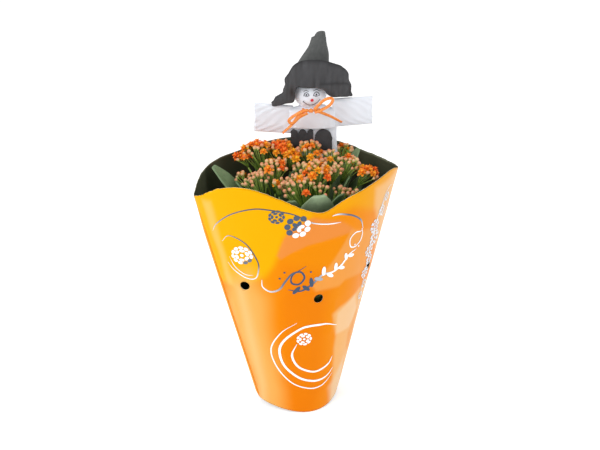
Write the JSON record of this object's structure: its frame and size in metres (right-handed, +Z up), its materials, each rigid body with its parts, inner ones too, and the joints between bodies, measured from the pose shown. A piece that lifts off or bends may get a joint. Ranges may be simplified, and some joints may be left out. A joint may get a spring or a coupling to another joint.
{
  "type": "potted flowering kalanchoe in a printed florist sleeve with a cloth ghost pick",
  "caption": "Potted flowering succulent in a flared foil florist sleeve, with a cloth ghost in a witch hat on a stick.",
  "frame": {"origin": "centre of the object's box, on the surface it stands on", "axes": "+Z up; the front faces -Y, so +X is the viewer's right; the sleeve's two side seams lie on a line turned 21.8 degrees about Z from X"},
  "size_m": [0.2071, 0.1443, 0.388],
  "materials": {
    "printed_film": "glossy metallised film, orange and yellow print outside, dark inside",
    "pot_plastic": "thin moulded plastic",
    "soil": "loose peat mix",
    "stem_green": "fleshy green stem",
    "leaf_green": "thick waxy leaf",
    "blossom": "orange petals and peach buds",
    "gauze": "white crinkled gauze",
    "crepe": "grey crinkled crepe",
    "felt": "dark grey felt",
    "raffia": "satin paper ribbon",
    "stick_wood": "plain birch"
  },
  "bodies": {
    "root": {"sleeve_film": "printed_film", "grow_pot": "pot_plastic", "potting_soil": "soil", "shoot_stem_1": "stem_green", "shoot_stem_2": "stem_green", "shoot_stem_3": "stem_green", "shoot_stem_4": "stem_green", "leaf_01": "leaf_green", "leaf_02": "leaf_green", "leaf_03": "leaf_green", "leaf_04": "leaf_green", "leaf_05": "leaf_green", "leaf_06": "leaf_green", "leaf_07": "leaf_green", "leaf_08": "leaf_green", "leaf_09": "leaf_green", "leaf_10": "leaf_green", "leaf_11": "leaf_green", "leaf_12": "leaf_green", "leaf_13": "leaf_green", "leaf_14": "leaf_green", "leaf_15": "leaf_green", "leaf_16": "leaf_green", "leaf_17": "leaf_green", "leaf_18": "leaf_green", "leaf_19": "leaf_green", "leaf_20": "leaf_green", "leaf_21": "leaf_green", "leaf_22": "leaf_green", "leaf_23": "leaf_green", "leaf_24": "leaf_green", "leaf_25": "leaf_green", "leaf_26": "leaf_green", "leaf_27": "leaf_green", "flower_head_01": "blossom", "flower_head_02": "blossom", "flower_head_03": "blossom", "flower_head_04": "blossom", "flower_head_05": "blossom", "flower_head_06": "blossom", "flower_head_07": "blossom", "flower_head_08": "blossom", "flower_head_09": "blossom", "flower_head_10": "blossom", "flower_head_11": "blossom", "flower_head_12": "blossom", "pick_stick": "stick_wood", "doll_head": "gauze", "doll_robe": "gauze", "doll_arm_left": "gauze", "doll_arm_right": "gauze", "felt_patch_left": "felt", "felt_patch_right": "felt", "hat_cone": "crepe", "hat_brim": "felt", "bow_knot": "raffia", "bow_tail_left": "raffia", "bow_tail_right": "raffia", "bow_loop_left": "raffia", "bow_loop_right": "raffia"}
  },
  "joints": []
}
